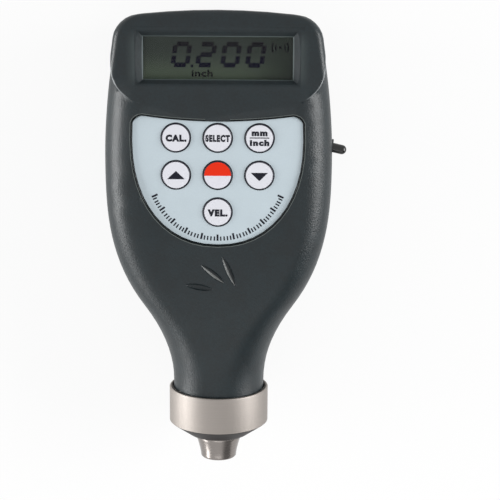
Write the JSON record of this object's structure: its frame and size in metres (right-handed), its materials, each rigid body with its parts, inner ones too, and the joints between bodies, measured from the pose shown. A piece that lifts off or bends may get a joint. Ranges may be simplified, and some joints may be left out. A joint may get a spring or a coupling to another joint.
{
  "type": "ultrasonic thickness gauge",
  "caption": "Hand-held ultrasonic thickness gauge: moulded housing with display and keypad, a steel-collared probe at the narrow end and a sliding battery door.",
  "frame": {"origin": "centre of the probe's round contact face", "axes": "+Y along the gauge from the probe to the display end, +Z out of the front face, +X to the right seen from the front; the gauge lies on its flat back"},
  "size_m": [0.0729, 0.1423, 0.032],
  "materials": {
    "housing": "fine moulded texture, dark grey-green",
    "housing_back": "fine moulded texture, dark grey-green",
    "screw_steel": "plain bright steel",
    "clear_window": "clear moulded sheet",
    "display_cell": "olive grey liquid crystal cell",
    "white_plastic": "plain white moulding",
    "contact_rubber": "soft striped rubber",
    "keypad_print": "pale blue printed sheet",
    "key_cap": "off-white caps with dark print",
    "power_cap": "off-white cap with a red upper half",
    "circuit_board": "green coated board",
    "black_plastic": "plain black moulding",
    "socket_bush": "plain grey moulding",
    "plug_rubber": "plain black rubber",
    "cell_can": "printed cell sleeve",
    "collar_steel": "turned and brushed around its axis",
    "nose_steel": "satin turned steel",
    "delay_plastic": "cast delay plastic",
    "cork_sheet": "cork sheet",
    "crystal_ceramic": "silvered ceramic",
    "nut_brass": "turned brass",
    "lead_skin": "insulated leads"
  },
  "bodies": {
    "gauge": {"front_shell": "housing", "rear_shell": "housing_back", "shell_screws": "screw_steel", "lcd_window": "clear_window", "lcd_cell": "display_cell", "lcd_carrier": "white_plastic", "contact_strip": "contact_rubber", "keypad_panel": "keypad_print", "main_board": "circuit_board", "board_screws": "screw_steel", "key_switches": "black_plastic", "buzzer": "black_plastic", "processor_chip": "black_plastic", "clock_crystal": "screw_steel", "supply_capacitor": "black_plastic", "pulse_transformer": "black_plastic", "data_socket": "socket_bush", "battery_cells": "cell_can", "battery_springs": "screw_steel", "battery_contacts": "screw_steel", "probe_collar": "collar_steel", "neck_seal": "plug_rubber", "probe_nose": "nose_steel", "delay_lines": "delay_plastic", "sound_barrier": "cork_sheet", "probe_crystals": "crystal_ceramic", "backing_block": "black_plastic", "clamp_nut": "nut_brass", "probe_leads": "lead_skin"},
    "key_cal_body": {"key_cal": "key_cap"},
    "key_select_body": {"key_select": "key_cap"},
    "key_unit_body": {"key_unit": "key_cap"},
    "key_up_body": {"key_up": "key_cap"},
    "key_power_body": {"key_power": "power_cap"},
    "key_down_body": {"key_down": "key_cap"},
    "key_vel_body": {"key_vel": "key_cap"},
    "battery_door_body": {"battery_door": "housing_back"},
    "socket_plug_body": {"socket_plug": "plug_rubber"}
  },
  "joints": [
    {"name": "key_cal_press", "type": "slide", "parent": "gauge", "child": "key_cal_body", "axis": [0, 0, -1], "range_m": [0, 0.0005], "stiffness_N_per_m": 300},
    {"name": "key_select_press", "type": "slide", "parent": "gauge", "child": "key_select_body", "axis": [0, 0, -1], "range_m": [0, 0.0005], "stiffness_N_per_m": 300},
    {"name": "key_unit_press", "type": "slide", "parent": "gauge", "child": "key_unit_body", "axis": [0, 0, -1], "range_m": [0, 0.0005], "stiffness_N_per_m": 300},
    {"name": "key_up_press", "type": "slide", "parent": "gauge", "child": "key_up_body", "axis": [0, 0, -1], "range_m": [0, 0.0005], "stiffness_N_per_m": 300},
    {"name": "key_power_press", "type": "slide", "parent": "gauge", "child": "key_power_body", "axis": [0, 0, -1], "range_m": [0, 0.0005], "stiffness_N_per_m": 300},
    {"name": "key_down_press", "type": "slide", "parent": "gauge", "child": "key_down_body", "axis": [0, 0, -1], "range_m": [0, 0.0005], "stiffness_N_per_m": 300},
    {"name": "key_vel_press", "type": "slide", "parent": "gauge", "child": "key_vel_body", "axis": [0, 0, -1], "range_m": [0, 0.0005], "stiffness_N_per_m": 300},
    {"name": "battery_door_slide", "type": "slide", "parent": "gauge", "child": "battery_door_body", "axis": [0, -1, 0], "range_m": [0, 0.036]},
    {"name": "socket_plug_pull", "type": "slide", "parent": "gauge", "child": "socket_plug_body", "axis": [0.9744, -0.225, 0], "range_m": [0, 0.006]}
  ]
}
